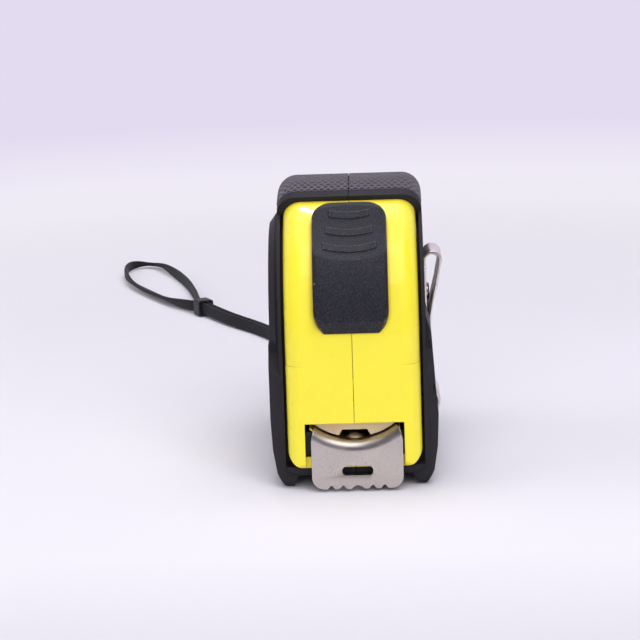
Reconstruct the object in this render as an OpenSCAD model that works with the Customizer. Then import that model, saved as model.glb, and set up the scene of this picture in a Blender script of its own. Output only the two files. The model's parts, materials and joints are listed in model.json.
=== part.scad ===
// Pocket tape measure: a two-part case with a rubber grip, a sprung reel of cupped steel
// blade, a thumb lock that slides on the round front of the case, and a belt clip.
// X runs across the case, -Y is the mouth end and Z is up. The origin is midway between
// the rails, at ground level, on the seam and under the centre of the round of the case.

/* [Blade] */
// Width of the steel blade
blade_w = 25; // [19:0.5:30]
// Length of the blade
blade_len = 5000; // [3000:500:6000]
// Thickness of the blade with its coating
blade_t = 0.3; // [0.2:0.05:0.4]
// Thickness that each turn adds to the coil
wrap_t = 0.16; // [0.13:0.01:0.2]
// Radius of the cupped section of the blade
cup_r = 18.5; // [16.5:0.5:24]
// Height of the lowest line of the blade above the ground
blade_z = 12.3; // [11.5:0.1:14]

/* [End hook] */
// Thickness of the hook's steel
hook_t = 0.8; // [0.6:0.1:1.2]
// Height of the hook's lower edge above the ground
hook_z = 0.8; // [0.5:0.1:2]
// How much narrower the hook is than the blade
hook_margin = 1.5; // [0.4:0.1:3]
// How far the hook sits to the right of the middle of the blade
hook_shift = 0.5; // [0:0.1:0.6]
// Inner radius of the bend at the top of the hook
hook_bend = 1.9; // [0.8:0.1:2.1]
// How far the hook floats on its rivets
hook_float = 1; // [0.6:0.1:1.2]
// Length of the nail slot
nail_slot_w = 8; // [5:0.2:10]
// Height of the nail slot
nail_slot_h = 2.5; // [1.8:0.1:3]
// Radius of the rivet heads
rivet_r = 2.3; // [1.8:0.1:2.6]

/* [Case] */
// Radius of the round of the case
case_r = 37.5; // [36.5:0.5:46]
// Height of the centre of that round above the ground
case_z = 37; // [36:0.5:40]
// Wall thickness of the case halves
wall = 2.2; // [1.8:0.1:2.6]
// Height of the underside of the case above the ground
belly_z = 6; // [5:0.25:7]
// Height of the crease where the round turns into the nose block
crease_z = 33; // [28:0.5:35]
// Rounding of the edges of the round
round_edge = 4.75; // [4:0.25:8]
// Rounding of the upright edges of the nose block
nose_edge = 4.2; // [3:0.2:6]
// Rounding of the lower edges of the case
belly_edge = 4.75; // [3:0.25:5]
// Rounding of the edge under the front of the nose
chin_edge = 1.7; // [0.5:0.1:2.5]
// Radius of the corner under the back of the case
heel_r = 10; // [6:0.5:14]
// Space between the blade's edges and the sides of the mouth
mouth_gap = 0.25; // [0.15:0.05:0.6]
// Gap left at the seam between the two halves
seam = 0.12; // [0.05:0.01:0.2]

/* [Grip] */
// Thickness of the rubber over the top and back
grip_t = 1.4; // [1:0.1:2.4]
// Thickness of the rubber bar under the case
bar_t = 2.4; // [2:0.1:3]
// Thickness of the rubber skin on the sides
skin_t = 1.6; // [1.2:0.1:2]
// Height of the raised side panel above the case's side
panel_h = 4.4; // [4.2:0.1:6]
// Distance from the edge of the case to the front edge of the skin and the rails
panel_inset = 3.5; // [3:0.1:5]
// Radius of the raised disc on the side panel
disc_r = 29; // [27:0.1:31]
// Angle above the front horizontal at which the top rubber starts
lip_angle = 67.5; // [64:0.5:74]
// Radius of the round window in the left panel
window_r = 20; // [15:0.5:23]
// Width of the flat under each rail
rail_flat = 1.4; // [1:0.1:3]

/* [Reel] */
// Radius of the reel drum
drum_r = 20.5; // [19:0.25:21]
// Radius of the reel's flanges
flange_r = 27.5; // [27:0.1:28]
// Thickness of the reel's flanges
flange_t = 0.9; // [0.7:0.1:1.2]
// Space between a flange and the side of the case
reel_end_gap = 1.5; // [1.2:0.1:2]
// Distance of the reel's axis behind the centre of the round
reel_y = 2.5; // [2:0.1:3]
// Radius of the axle post
axle_r = 3.5; // [3:0.1:4]
// Thickness of the power spring's strip
spring_t = 0.5; // [0.3:0.05:0.6]
// Number of turns of the power spring
spring_turns = 11; // [7:1:12]

/* [Lock] */
// Width of the lock button
lock_w = 19.2; // [15:0.2:23]
// Height of the button above the case
lock_rise = 2.8; // [2.2:0.1:3.4]
// Angle of the button's lower end above the front horizontal
lock_low = 6.7; // [5:0.1:10]
// Angle of the button's upper end above the front horizontal
lock_high = 61; // [56:0.5:62]
// Angle that the button slides down to lock the blade
lock_travel = 12; // [9:0.5:12.5]
// Width of the stem that joins the button to the slide
stem_w = 5; // [3:0.5:7]

/* [Belt clip] */
// Width of the clip's strip
clip_w = 12; // [10:0.5:18]
// Thickness of the clip's strip
clip_t = 0.9; // [0.7:0.1:1.1]
// Height of the top of the clip above the ground
clip_top = 56; // [54:0.5:60]

/* [Strap] */
// Width of the lace
lace_w = 4; // [3:0.2:4.4]
// Thickness of the lace
lace_t = 1.3; // [1:0.1:1.5]

/* [Hidden] */
$fn = 96;

far = 90;               // past the outside of everything
bite = 0.02;            // how far a cut runs past a face
fit = 0.05;             // clearance of a close fit
blade_side_gap = 0.2;   // blade edge to flange

// Widths across the case
half_w = blade_w / 2 + blade_side_gap + flange_t + reel_end_gap + wall;
inner_w = half_w - wall;
skin_x = half_w + skin_t;
panel_x = half_w + panel_h;
flange_x = blade_w / 2 + blade_side_gap + flange_t;
mouth_w = blade_w + 2 * mouth_gap;

// Reel
coil_r = sqrt(drum_r * drum_r + blade_len * wrap_t / PI);
reel_z = blade_z + blade_t / 2 + fit + coil_r;
axle_boss_h = 0.9;
axle_boss_r = 6;
hub_t = 1.2;            // wall of the reel's hub
drum_wall = 1.6;

// Cupped blade and hook
cup_z = blade_z + cup_r;
cup_half = blade_w / 2 / cup_r * 180 / PI;
tang_top = cup_r - blade_t / 2 - fit - hook_t;
tang_low = cup_r - blade_t / 2 - fit;
hook_w = blade_w - hook_margin;
hook_back = -case_r - 0.25;
hook_front = hook_back - hook_t;
bend_y = hook_back + hook_bend;
bend_r = tang_low + hook_bend;
tang_end = 12.3 - case_r;
blade_end_back = 15.5 - case_r;
rivet_ys = [4.5 - case_r, 9.5 - case_r];
rivet_head = 1;
rivet_shank = 1.3;
rivet_tail = 2;
rivet_lift = rivet_r * rivet_r / tang_top / 2 + fit;
bumper_r = tang_top - 0.5;
bumper_t = 3;
bar_front = 2 - case_r;
field_low = lip_angle + 4.5;
field_sink = 0.35;      // depth of the field of dimples on the cap
rail_x = half_w - 0.2;
rail_top = crease_z - 3;
mouth_top = cup_z - cup_r * cos(cup_half) + 1.6;
sill_z = belly_z + wall + 0.7;
duct_back = 10.5 - case_r;
shelf_z = mouth_top + 3;
shelf_t = 1.2;

// Lock, as radii and angles about the centre of the round
lock_gap = 0.3;
button_in = case_r + lock_gap;
button_out = case_r + lock_rise;
button_corner_low = 6.2;
button_corner_high = 5.5;
slope_in = -0.6;        // how far the sloped lower end leans out for each unit up
slope_rise = 12;
dish_angle = 46.6;
dish_r = 80;
dish_sink = 1.43;
rib_low = 39.2;
rib_pitch = 7.7;
rib_w = 1.9;
rib_len = 13.6;
rib_step = 1.7;
rib_bow = 22;
rib_rise = 0.45;
slide_out = case_r - wall - 0.3;
slide_in = slide_out - 1.7;
slide_low = 6;
slide_high = 46;
slide_w = 12;
stem_low = 28;
stem_high = 40;
arm_in = coil_r + 2.3;
arm_out = arm_in + 1.9;
arm_w = 8;
foot_w = 9;
pad_in = arm_in + 0.7;
pad_out = pad_in + 4;
pad_w = 10;
pad_lift = 1.12;        // lowest corner above the blade's lowest line when locked
pad_low = asin((case_z - blade_z - pad_lift) / pad_out) - lock_travel;
pad_arc = 3.4;

// Case screws: front top, back top, back bottom and nose, each an angle above the front
// horizontal and a distance inside the edge of the round
screw_spots = [[59.2, 7], [130, 4], [221, 2.4], [-20.6, 4.8]];
screws = [for (p = screw_spots) [(p[1] - case_r) * cos(p[0]), case_z + (case_r - p[1]) * sin(p[0])]];
boss_r = 2.2;
screw_r = 1.35;
screw_head_r = 2.5;
screw_head_h = 1.1;
screw_seat = half_w - 1.3;
screw_tip = 6.3 - half_w;

// Belt clip: points of its strip's middle line are worked out from these
clip_screw_z = 44;
clip_foot_z = 33.5;
clip_in = skin_x + fit + clip_t / 2;
clip_out = half_w + 6.35;
clip_near = skin_x + 1.4;
clip_bend = (clip_out - clip_in) / 2;
clip_tip_z = 15.2;
clip_tip_x = half_w + 5.15;
clip_tip_r = 4.4;
clip_tip_turn = 40;

// Strap pocket in the back corner of the left half
pocket_x = -8;
pocket_w = 12;
pocket_y = case_r - 7.4;
pocket_low = 6.5;
pocket_high = 12.7;
pin_y = case_r - 4.2;
pin_z = 9.6;
pin_r = 1.2;
lace_pitch = 4.6;

// Middle line of the lace as [x, y behind the strap pin, z, roll]: out of the pocket, along
// the ground, round the loop and back. A roll of 0 is flat and 90 stands on edge.
lace_route = [
    [-10.3, 2.6, 9.6, 0], [-10.3, 9, 9, 0], [-10.2, 16, 7.4, 25], [-10, 25, 4.8, 60],
    [-10.1, 36.6, 3, 90], [-12.8, 54.5, 2.1, 90], [-17.1, 73.5, 2.1, 90], [-23.6, 92.4, 2.1, 90],
    [-32.7, 110.3, 2.1, 90], [-43.5, 126.2, 2.4, 90], [-53.8, 143.8, 2.8, 90],
    [-58.4, 150, 2.4, 105], [-65, 160, 1.8, 140], [-71.7, 172.5, 1.6, 156], [-77, 183, 1.6, 156],
    [-81, 192, 1.8, 140], [-84, 201.5, 2.1, 110], [-85.8, 211, 2.1, 90], [-85.8, 220, 2.1, 75],
    [-84, 226, 1.8, 50], [-80.3, 228.8, 1.6, 20], [-76.8, 227.8, 1.5, 13], [-73.8, 223.8, 1.7, 30],
    [-70.2, 214.5, 2.1, 65], [-65.8, 202.5, 2.1, 88], [-61.3, 187, 2.1, 90], [-57.6, 169, 2.1, 90],
    [-55.1, 153, 2.4, 90], [-52.2, 144.6, 2.8, 90], [-42.1, 127.2, 2.4, 90], [-31.3, 111.1, 2.1, 90],
    [-22, 93, 2.1, 90], [-15.5, 73.9, 2.1, 90], [-11.2, 54.9, 2.1, 90], [-8.5, 36.8, 3, 90],
    [-7, 25, 4.8, 60], [-5.9, 16, 7.4, 25], [-5.7, 9, 9, 0], [-5.7, 2.6, 9.6, 0]
];
keeper_at = [-53, 144.2 + pin_y];
keeper_turn = 27.5;
keeper_len = 4.4;

// ---------------------------------------------------------------- helpers

// Lays a (Y, Z) outline across the case, from x0 to x1
module across(x0, x1) {
    translate([x0, 0, 0]) rotate([90, 0, 90]) linear_extrude(height = x1 - x0) children();
}

// Lays an (X, Z) outline along the case, from y0 to y1
module along(y0, y1) {
    translate([0, y1, 0]) rotate([90, 0, 0]) linear_extrude(height = y1 - y0) children();
}

// Raises an (X, Y) outline from z0 to z1
module upward(z0, z1) {
    translate([0, 0, z0]) linear_extrude(height = z1 - z0) children();
}

// Turns a (radius, X) section about the centre of the round, between two angles above
// the front horizontal
module around(a0, a1) {
    translate([0, 0, case_z])
        rotate([90, 0, 90])
            rotate([0, 0, 180 - a1])
                rotate_extrude(angle = a1 - a0) children();
}

// A cupped strip between two radii of the cup, from y0 to y1, half an angle to each side
module cupped(r0, r1, y0, y1, half) {
    translate([0, 0, cup_z])
        rotate([90, 0, 0])
            rotate([0, 0, 270 - half])
                rotate_extrude(angle = 2 * half)
                    translate([r0, -y1]) square([r1 - r0, y1 - y0]);
}

// A rod along X
module rod(r, x0, x1, y, z) {
    translate([x0, y, z]) rotate([0, 90, 0]) cylinder(r = r, h = x1 - x0);
}

// A rectangle with round corners, from one corner to the other
module round_rect(a, b, r) {
    translate([a[0] + r, a[1]]) square([b[0] - a[0] - 2 * r, b[1] - a[1]]);
    translate([a[0], a[1] + r]) square([b[0] - a[0], b[1] - a[1] - 2 * r]);
    for (x = [a[0] + r, b[0] - r], y = [a[1] + r, b[1] - r]) translate([x, y]) circle(r);
}

// A slot with round ends, from the centre of one end to the centre of the other
module slot(a, b, r) {
    x0 = min(a[0], b[0]);
    y0 = min(a[1], b[1]);
    wide = abs(a[0] - b[0]);
    deep = abs(a[1] - b[1]);
    for (p = [a, b]) translate(p) circle(r);
    translate([wide > 0 ? x0 : x0 - r, deep > 0 ? y0 : y0 - r])
        square([wide > 0 ? wide : 2 * r, deep > 0 ? deep : 2 * r]);
}

// One side of the seam: -1 is the left half and 1 the right half
module half(side) {
    translate([side * (seam + far) / 2, 0, 0]) cube([far, 3 * far, 3 * far], center = true);
}

// ---------------------------------------------------------------- case

// Side view of a block with a round corner under its front and its back
module block_side(front, back, low, high, front_r, back_r) {
    round_low = low + max(front_r, back_r);
    translate([front, round_low]) square([back - front, high - round_low]);
    translate([front + front_r, low]) square([back - back_r - front - front_r, round_low - low + bite]);
    translate([front + front_r, low + front_r]) circle(front_r);
    translate([front, low + front_r]) square([front_r + bite, round_low - low - front_r + bite]);
    translate([back - back_r, low + back_r]) circle(back_r);
    translate([back - back_r - bite, low + back_r]) square([back_r + bite, round_low - low - back_r + bite]);
}

// The round of a shell: half a disc on edge with soft rims, which goes straight down from
// its centre to just below the crease
module round_form(r, w, edge) {
    intersection() {
        translate([0, 0, case_z])
            rotate([0, 90, 0])
                rotate_extrude()
                    intersection() {
                        round_rect([-r, -w], [r, w], edge);
                        translate([0, -w]) square([r, 2 * w]);
                    }
        translate([-far, -far, case_z]) cube([2 * far, 2 * far, far]);
    }
    upward(crease_z - 1, case_z) round_rect([-w, -r], [w, r], edge);
}

// The whole outer form of the case, shrunk all round by an inset
module case_form(inset) {
    r = case_r - inset;
    w = half_w - inset;
    low = belly_z + inset;
    round_form(r, w, round_edge - inset);
    intersection() {
        across(-w, w) block_side(-r, r, low, crease_z, max(chin_edge - inset, 0.4), heel_r - inset);
        upward(0, far) round_rect([-w, -r], [w, r], nose_edge - inset);
        along(-r, r) round_rect([-w, low], [w, far], belly_edge - inset);
    }
}

// The solid parts inside the case that both halves share
module case_fittings() {
    for (s = [-1, 1]) {
        // cheeks of the mouth
        translate([s * (mouth_w / 2 + inner_w + 1) / 2, (duct_back - case_r) / 2, (belly_z + shelf_z) / 2])
            cube([inner_w + 1 - mouth_w / 2, case_r + duct_back, shelf_z - belly_z], center = true);
        // boss under each end of the axle
        rod(axle_boss_r, s > 0 ? inner_w - axle_boss_h : -half_w, s > 0 ? half_w : axle_boss_h - inner_w,
            reel_y, reel_z);
    }
    // shelf that holds the bumper down
    translate([-half_w, -case_r, shelf_z]) cube([2 * half_w, wall + bumper_t + 0.8, shelf_t]);
    // screw bosses
    for (p = screws) rod(boss_r, -half_w, half_w, p[0], p[1]);
}

module case_half(side) {
    difference() {
        intersection() {
            half(side);
            union() {
                difference() {
                    case_form(0);
                    case_form(wall);
                }
                intersection() {
                    case_form(wall / 2);
                    case_fittings();
                }
            }
        }
        // mouth, and the set-back lip under it that the hook hangs in front of
        translate([-mouth_w / 2, -far, sill_z]) cube([mouth_w, far + duct_back - bite, mouth_top - sill_z]);
        translate([-mouth_w / 2, -far, 0]) cube([mouth_w, far - case_r + 1.4, sill_z + bite]);
        // slot for the stem of the lock
        around(stem_low - lock_travel - 1, stem_high + 1)
            translate([case_r - wall - 2, -stem_w / 2 - 0.3]) square([wall + 4, stem_w + 0.6]);
        // seat of the axle post
        rod(axle_r + fit, -half_w + 0.7, half_w - 1.7, reel_y, reel_z);
        // screw holes
        for (p = screws) {
            rod(screw_r + fit, screw_tip - 0.6, far, p[0], p[1]);
            rod(screw_head_r + 0.2, screw_seat, far, p[0], p[1]);
        }
    }
}

module case_left() {
    color("gold") {
        difference() {
            union() {
                case_half(-1);
                // round raised face in the window of the grip
                rod(window_r - 0.3, -panel_x + 1.8, -half_w + bite, 0, case_z);
                // block around the strap pocket
                intersection() {
                    case_form(wall / 2);
                    translate([-half_w, pocket_y - wall, belly_z])
                        cube([half_w - seam / 2, far, pocket_high + wall - belly_z]);
                }
            }
            strap_pocket();
            rod(pin_r + fit, pocket_x - pocket_w / 2 - 1.3, pocket_x + pocket_w / 2 + 1.2, pin_y, pin_z);
            rod(screw_r + fit, screw_tip - 0.6, 0, screws[2][0], screws[2][1]);
        }
    }
}

module strap_pocket() {
    translate([pocket_x - pocket_w / 2, pocket_y, pocket_low])
        cube([pocket_w, far, pocket_high - pocket_low]);
}

module case_right() {
    color("gold") {
        difference() {
            case_half(1);
            rod(screw_r + fit, inner_w - 1, far, 0, clip_screw_z);
        }
    }
}

// ---------------------------------------------------------------- grip

// Outer form of the rubber where it wraps the case
module grip_form() {
    r = case_r + grip_t;
    edge = round_edge + 0.25;
    low = belly_z - bar_t;
    round_form(r, skin_x, edge);
    intersection() {
        across(-skin_x, skin_x) block_side(-r, r, low, crease_z, 0.5, heel_r + grip_t);
        upward(0, far) round_rect([-skin_x, -r], [skin_x, r], edge);
        along(-far, far) round_rect([-skin_x, low], [skin_x, far], belly_edge + 1);
    }
}

// Side view of all that the wrapped rubber covers: above the lip, the back and the bottom bar
module wrap_side() {
    polygon([
        [0, case_z],
        [-far * cos(lip_angle), case_z + far * sin(lip_angle)],
        [far, case_z + far],
        [far, -far],
        [bar_front + 1.2, -far],
        [bar_front + 1.2, belly_z - bar_t],
        [bar_front, belly_z - bar_t + 1.2],
        [bar_front, belly_z]
    ]);
}

// What is cut away for the shallow field of dimples, over the top and down the back
module dimple_field() {
    difference() {
        across(-far, far)
            difference() {
                polygon([
                    [0, case_z],
                    [-far * cos(field_low), case_z + far * sin(field_low)],
                    [far, case_z + far],
                    [far, case_z + 3]
                ]);
                translate([0, case_z]) circle(case_r - panel_inset + 0.9);
            }
        round_form(case_r + grip_t - field_sink, skin_x - field_sink, round_edge + 0.25 - field_sink);
    }
}

// Side view of the skin and panel on the side of the case
module skin_side() {
    r = case_r - panel_inset;
    translate([0, case_z]) circle(r);
    translate([-r, belly_z]) square([2 * r, case_z - belly_z]);
}

// Front view of the lower side of the grip, which ends in the rail that the tool stands on
module rail_front() {
    polygon([
        [half_w - bite, case_z],
        [panel_x, case_z],
        [panel_x, 18],
        [panel_x - 0.4, 10],
        [panel_x - 1.4, 4],
        [rail_x + rail_flat / 2 + 0.5, 0.35],
        [rail_x + rail_flat / 2, 0],
        [rail_x - rail_flat / 2, 0],
        [rail_x - rail_flat / 2 - 0.3, 0.35],
        [rail_x - rail_flat / 2 - 1.5, belly_z - bar_t - 0.4],
        [rail_x - rail_flat / 2 - 2.6, belly_z - bar_t],
        [rail_x - rail_flat / 2 - 2.6, belly_z],
        [half_w - belly_edge, belly_z],
        [half_w - bite, belly_z + belly_edge]
    ]);
}

// Side view of the rail, whose top slopes back to the raised disc at both ends
module rail_side() {
    front = panel_inset - case_r;
    back = case_r - 1;
    intersection() {
        block_side(front, back, 0, case_z, 3, heel_r);
        polygon([
            [-far, 0], [front, rail_top], [-disc_r, rail_top + 5.2], [-disc_r, case_z],
            [disc_r, case_z], [disc_r, rail_top + 5.2], [back, rail_top], [far, 0]
        ]);
    }
}

// Top view of the lower side of the grip, bevelled at its front and back
module rail_plan() {
    front = panel_inset - case_r;
    back = case_r - 1;
    polygon([
        [0, front], [panel_x - 2, front], [panel_x, front + 2], [panel_x, back - 6], [panel_x - 2.4, back], [0, back]
    ]);
}

module grip_right_blank() {
    difference() {
        union() {
            intersection() {
                grip_form();
                across(0, far) wrap_side();
            }
            across(half_w, skin_x) skin_side();
            // raised panel
            translate([0, 0, case_z])
                rotate([0, 90, 0])
                    rotate_extrude()
                        polygon([
                            [0, half_w],
                            [disc_r, half_w],
                            [disc_r, panel_x - 2],
                            [disc_r - 2.4, panel_x - 0.3],
                            [window_r, panel_x - 0.05],
                            [0, panel_x]
                        ]);
            intersection() {
                along(-far, far) rail_front();
                upward(0, far) rail_plan();
                across(0, far) rail_side();
            }
        }
        case_form(-fit);
        dimple_field();
        // groove between the front edge of the rubber and the case
        across(0, half_w + 0.65)
            difference() {
                translate([-far, belly_z - bar_t - bite]) square([far - 9, far]);
                translate([0, case_z]) circle(case_r - panel_inset - 3);
                translate([3 + panel_inset - case_r, 0]) square([2 * case_r, case_z]);
                polygon([
                    [0, case_z], [-far * cos(lip_angle), case_z + far * sin(lip_angle)], [far, far], [far, case_z]
                ]);
                translate([-far, -1]) square([2 * far, belly_z + 1]);
            }
        translate([-far + seam / 2, 0, 0]) cube([2 * far, 3 * far, 3 * far], center = true);
    }
}

module grip_left() {
    color([0.16, 0.16, 0.18]) {
        difference() {
            mirror([1, 0, 0]) grip_right_blank();
            rod(window_r, -far, 0, 0, case_z);
            strap_pocket();
        }
    }
}

module grip_right() {
    color([0.16, 0.16, 0.18]) {
        difference() {
            grip_right_blank();
            // flat above the swell for the belt clip
            along(-far, far)
                polygon([
                    [skin_x, far], [skin_x, clip_screw_z], [skin_x + 1.5, clip_screw_z - 5],
                    [skin_x + 2.3, 25], [panel_x, 19], [far, 19], [far, far]
                ]);
            // channel for the lower end of the clip
            translate([skin_x, -clip_w / 2 - 1, clip_tip_z - 5])
                cube([far, clip_w + 2, far]);
            for (p = screws) rod(screw_head_r + 0.3, 0, far, p[0], p[1]);
            rod(screw_r + 0.2, 0, far, 0, clip_screw_z);
        }
    }
}

// ---------------------------------------------------------------- fastenings and small parts

// A cross-head screw along X with its head towards +X
module screw(tip, seat, head_r, head_h, y, z) {
    difference() {
        union() {
            rod(screw_r, tip, seat, y, z);
            // head, narrower towards its top
            rod(head_r, seat, seat + head_h / 2, y, z);
            translate([seat + head_h / 2, y, z])
                rotate([0, 90, 0]) cylinder(r1 = head_r, r2 = head_r * 0.8, h = head_h / 2);
        }
        translate([seat + head_h, y, z]) {
            cube([head_h, head_r * 1.2, 0.5], center = true);
            cube([head_h, 0.5, head_r * 1.2], center = true);
        }
    }
}

module case_screws() {
    color("dimgray") {
        for (p = screws) screw(screw_tip, screw_seat, screw_head_r, screw_head_h, p[0], p[1]);
    }
}

module axle_post() {
    color("dimgray") {
        difference() {
            rod(axle_r, -half_w + 0.75, half_w - 1.75, reel_y, reel_z);
            // slot that takes the inner end of the power spring
            translate([-blade_w / 2 + 3, reel_y - 0.5, reel_z - far]) cube([blade_w - 6, 1, far]);
        }
    }
}

module mouth_bumper() {
    color("antiquewhite") {
        difference() {
            along(wall - case_r, wall - case_r + bumper_t) {
                intersection() {
                    translate([0, cup_z]) circle(bumper_r);
                    translate([1 - mouth_w / 2, blade_z]) square([mouth_w - 2, shelf_z - blade_z]);
                }
            }
            // notch that lets the rivets pass
            along(-far, far)
                polygon([
                    [-4.4, blade_z], [4.4, blade_z], [4.1, blade_z + 2], [3.2, blade_z + 3.5],
                    [-3.2, blade_z + 3.5], [-4.1, blade_z + 2]
                ]);
        }
    }
}

module blade_guide() {
    color([0.2, 0.2, 0.2]) {
        difference() {
            translate([-mouth_w / 2 + 0.1, wall - case_r, sill_z]) cube([mouth_w - 0.2, 7, cup_z - sill_z - 15.5]);
            // cupped bed of the blade
            translate([0, far, cup_z]) rotate([90, 0, 0]) cylinder(r = cup_r + blade_t / 2 + 0.25, h = 2 * far);
            // groove for the tails of the rivets
            translate([-rivet_tail - 0.6, -far, blade_z - 1.6]) cube([2 * rivet_tail + 1.2, 2 * far, 3]);
        }
    }
}

// Middle line of the clip's strip as (X, Z) points, from its lower inner end to its tip
function clip_line() = concat(
    [[clip_in, clip_foot_z + 1]],
    [for (i = [0:12]) let (a = 180 - i * 15)
        [clip_in + clip_bend + clip_bend * cos(a), clip_top - clip_t / 2 - clip_bend + clip_bend * sin(a)]],
    [[clip_out - 1.1, 47.4], [clip_near + 0.5, 40.4], [clip_near + 0.1, 36], [clip_near, 28], [clip_near, 20.5]],
    [for (i = [0:10]) let (a = clip_tip_turn - i * clip_tip_turn / 5)
        [clip_tip_x + clip_tip_r * (cos(a) - 1), clip_tip_z + clip_tip_r * sin(a)]]
);

// A strip of even thickness along a line of points
module strip(line, t) {
    n = len(line);
    normals = [for (i = [0:n - 1])
        let (d = line[min(i + 1, n - 1)] - line[max(i - 1, 0)]) [-d[1], d[0]] / norm(d)];
    polygon(concat(
        [for (i = [0:n - 1]) line[i] + normals[i] * t / 2],
        [for (i = [n - 1:-1:0]) line[i] - normals[i] * t / 2]
    ));
}

module belt_clip() {
    color("silver") {
        difference() {
            intersection() {
                along(-clip_w / 2, clip_w / 2) strip(clip_line(), clip_t);
                across(0, far) round_rect([-clip_w / 2, clip_tip_z - 4], [clip_w / 2, far], 3);
            }
            rod(screw_r + fit, 0, skin_x + 1.5, 0, clip_screw_z);
        }
    }
}

module clip_screw() {
    color("silver") {
        screw(inner_w + 0.4, clip_in + clip_t / 2 + fit, 2.4, 0.7, 0, clip_screw_z);
    }
}

module strap_pin() {
    color("silver") {
        rod(pin_r, pocket_x - pocket_w / 2 - 1.2, pocket_x + pocket_w / 2 + 1.1, pin_y, pin_z);
    }
}

// End of the lace, sewn in a loop round the pin
module strap_loop() {
    wide = lace_pitch + lace_w;
    color([0.12, 0.12, 0.13]) {
        difference() {
            rod(pin_r + fit + lace_t, pocket_x - wide / 2, pocket_x + wide / 2, pin_y, pin_z);
            rod(pin_r + fit, -far, far, pin_y, pin_z);
        }
    }
}

// ---------------------------------------------------------------- wrist strap

function unit(v) = v / norm(v);

// Point t of the way from p1 to p2 on a smooth curve through four points
function smooth(p0, p1, p2, p3, t) =
    0.5 * (2 * p1 + (p2 - p0) * t + (2 * p0 - 5 * p1 + 4 * p2 - p3) * t * t
        + (3 * p1 - p0 - 3 * p2 + p3) * t * t * t);

function along_route(route, steps) = let (n = len(route)) concat(
    [for (i = [0:n - 2], k = [0:steps - 1])
        smooth(route[max(i - 1, 0)], route[i], route[i + 1], route[min(i + 2, n - 1)], k / steps)],
    [route[n - 1]]
);

// Place of one point of a line whose points also hold a roll
function point(line, i) = let (p = line[max(min(i, len(line) - 1), 0)]) [p[0], p[1], p[2]];

// Flat section of the lace with its corners cut, as (sideways, up) points
lace_section = let (a = lace_w / 2, b = lace_t / 2, c = 0.35)
    [[a, c - b], [a, b - c], [a - c, b], [c - a, b], [-a, b - c], [-a, c - b], [c - a, -b], [a - c, -b]];

module ribbon(line, section) {
    n = len(line);
    m = len(section);
    points = [for (i = [0:n - 1])
        let (ahead = unit(point(line, i + 1) - point(line, i - 1)),
             side = unit(cross(ahead, [0, 0, 1])),
             top = cross(side, ahead),
             turn = line[i][3])
        for (q = section)
            point(line, i)
                + side * (q[0] * cos(turn) - q[1] * sin(turn))
                + top * (q[0] * sin(turn) + q[1] * cos(turn))];
    faces = concat(
        [[for (k = [0:m - 1]) k]],
        [[for (k = [m - 1:-1:0]) (n - 1) * m + k]],
        [for (i = [0:n - 2], k = [0:m - 1]) let (k2 = (k + 1) % m)
            [i * m + k2, i * m + k, (i + 1) * m + k]],
        [for (i = [0:n - 2], k = [0:m - 1]) let (k2 = (k + 1) % m)
            [i * m + k2, (i + 1) * m + k, (i + 1) * m + k2]]
    );
    polyhedron(points, faces);
}

module wrist_strap() {
    color([0.12, 0.12, 0.13]) ribbon(along_route([for (p = lace_route) p + [0, pin_y, 0, 0]], 2), lace_section);
}

module strap_keeper() {
    gap = 0.2;
    rim = 0.6;
    w = lace_t * 3.3 + 2 * rim;
    h = lace_w + 2 * (gap + rim);
    color([0.1, 0.1, 0.1]) {
        translate([keeper_at[0], keeper_at[1], 0])
            rotate([0, 0, keeper_turn])
                difference() {
                    along(-keeper_len / 2, keeper_len / 2) round_rect([-w / 2, 0], [w / 2, h], 1);
                    along(-far, far) round_rect([rim - w / 2, rim], [w / 2 - rim, h - rim], 0.4);
                }
    }
}

// ---------------------------------------------------------------- reel

module reel_drum() {
    color([0.25, 0.25, 0.27]) {
        difference() {
            union() {
                rod(flange_r, -flange_x, flange_t - flange_x, reel_y, reel_z);
                rod(drum_r, -flange_x, blade_w / 2, reel_y, reel_z);
            }
            rod(drum_r - drum_wall, flange_t - flange_x, far, reel_y, reel_z);
            rod(axle_r + 0.08, -far, far, reel_y, reel_z);
        }
        // hub that turns on the axle
        difference() {
            rod(axle_r + hub_t, -flange_x, flange_t - flange_x + 1.6, reel_y, reel_z);
            rod(axle_r + 0.08, -far, far, reel_y, reel_z);
        }
    }
}

module reel_cover() {
    color([0.25, 0.25, 0.27]) {
        difference() {
            union() {
                rod(flange_r, flange_x - flange_t, flange_x, reel_y, reel_z);
                rod(drum_r - drum_wall - fit, flange_x - flange_t - 2, flange_x, reel_y, reel_z);
            }
            difference() {
                rod(drum_r - 2 * drum_wall, flange_x - flange_t - 3, flange_x - flange_t, reel_y, reel_z);
                rod(axle_r + hub_t, 0, far, reel_y, reel_z);
            }
            rod(axle_r + 0.08, -far, far, reel_y, reel_z);
        }
    }
}

module reel_washers() {
    color("silver") {
        for (x = [-flange_x - 0.55, flange_x + 0.05]) {
            difference() {
                rod(axle_r + 1.8, x, x + 0.5, reel_y, reel_z);
                rod(axle_r + 0.1, x - 1, x + 2, reel_y, reel_z);
            }
        }
    }
}

// Wound spring strip, from just outside the axle to just inside the drum
module power_spring() {
    r0 = axle_r + 1.4;
    r1 = drum_r - drum_wall - 0.7;
    steps = 20 * spring_turns;
    function at(i, r) = let (a = 360 * i / 20) [r * cos(a), r * sin(a)];
    function line_r(i) = r0 + (r1 - r0) * i / steps;
    color("slategray") {
        translate([0, reel_y, reel_z])
            across(flange_t - flange_x + 2, flange_x - flange_t - 2.4)
                polygon(concat(
                    [for (i = [0:steps]) at(i, line_r(i) + spring_t / 2)],
                    [for (i = [steps:-1:0]) at(i, line_r(i) - spring_t / 2)]
                ));
    }
}

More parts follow.
